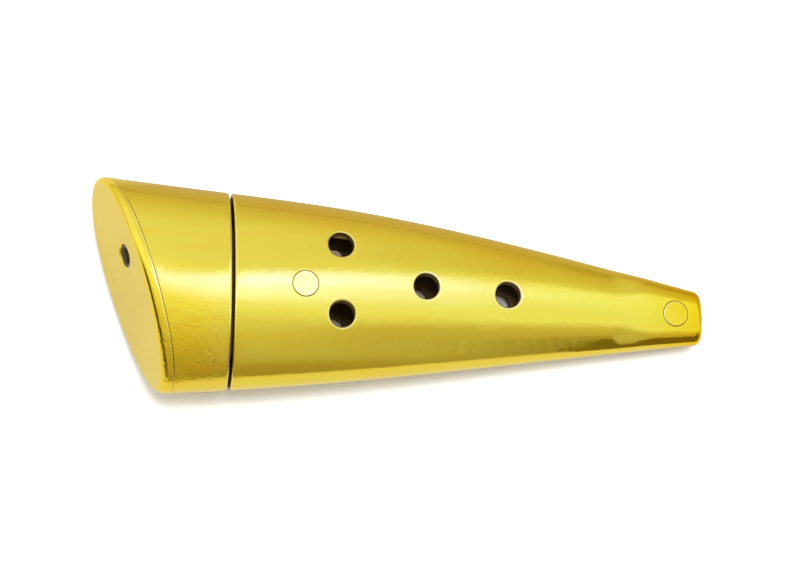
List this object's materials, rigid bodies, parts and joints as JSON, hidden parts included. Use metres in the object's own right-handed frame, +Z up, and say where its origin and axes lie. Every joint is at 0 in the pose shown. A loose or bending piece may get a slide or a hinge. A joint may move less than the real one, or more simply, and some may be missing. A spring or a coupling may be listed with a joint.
{
  "type": "bait-holding fishing lure body",
  "caption": "Gold-plated trolling lure body with a slanted face, a pull-apart head, scent holes and a hollow bait chamber threaded on a leader.",
  "frame": {"origin": "centre of the bounding box, on the surface that the lure's flank rests on", "axes": "+X from the slanted face towards the tail, +Y towards the back of the fish shape, +Z up through the upper flank; the lure's own axis dips towards the tail by the slope of its flank"},
  "size_m": [0.077, 0.027, 0.0142],
  "materials": {
    "gold_plating": "mirror-bright gold metallised plating over moulded plastic",
    "pale_gold_plating": "the same plating, paler and slightly scuffed on the flat face",
    "dark_plastic": "unplated dark moulded plastic",
    "smoke_plastic": "smooth smoke-grey moulded plastic",
    "seal_rubber": "soft black rubber"
  },
  "bodies": {
    "rear": {"rear_shell": "gold_plating", "mouth_collar": "dark_plastic", "collar_pin_upper": "gold_plating", "collar_pin_lower": "gold_plating", "tail_insert": "dark_plastic", "tail_pin_upper": "gold_plating", "tail_pin_lower": "gold_plating"},
    "head": {"face_cap": "pale_gold_plating", "nose_eyelet": "smoke_plastic", "head_shell": "gold_plating", "leader_tube": "dark_plastic", "coupling_spigot": "dark_plastic", "seal_ring": "seal_rubber"}
  },
  "joints": [
    {"name": "head_pull", "type": "slide", "parent": "rear", "child": "head", "axis": [-0.9982, 0, 0.0601], "range_m": [0, 0.02]}
  ]
}
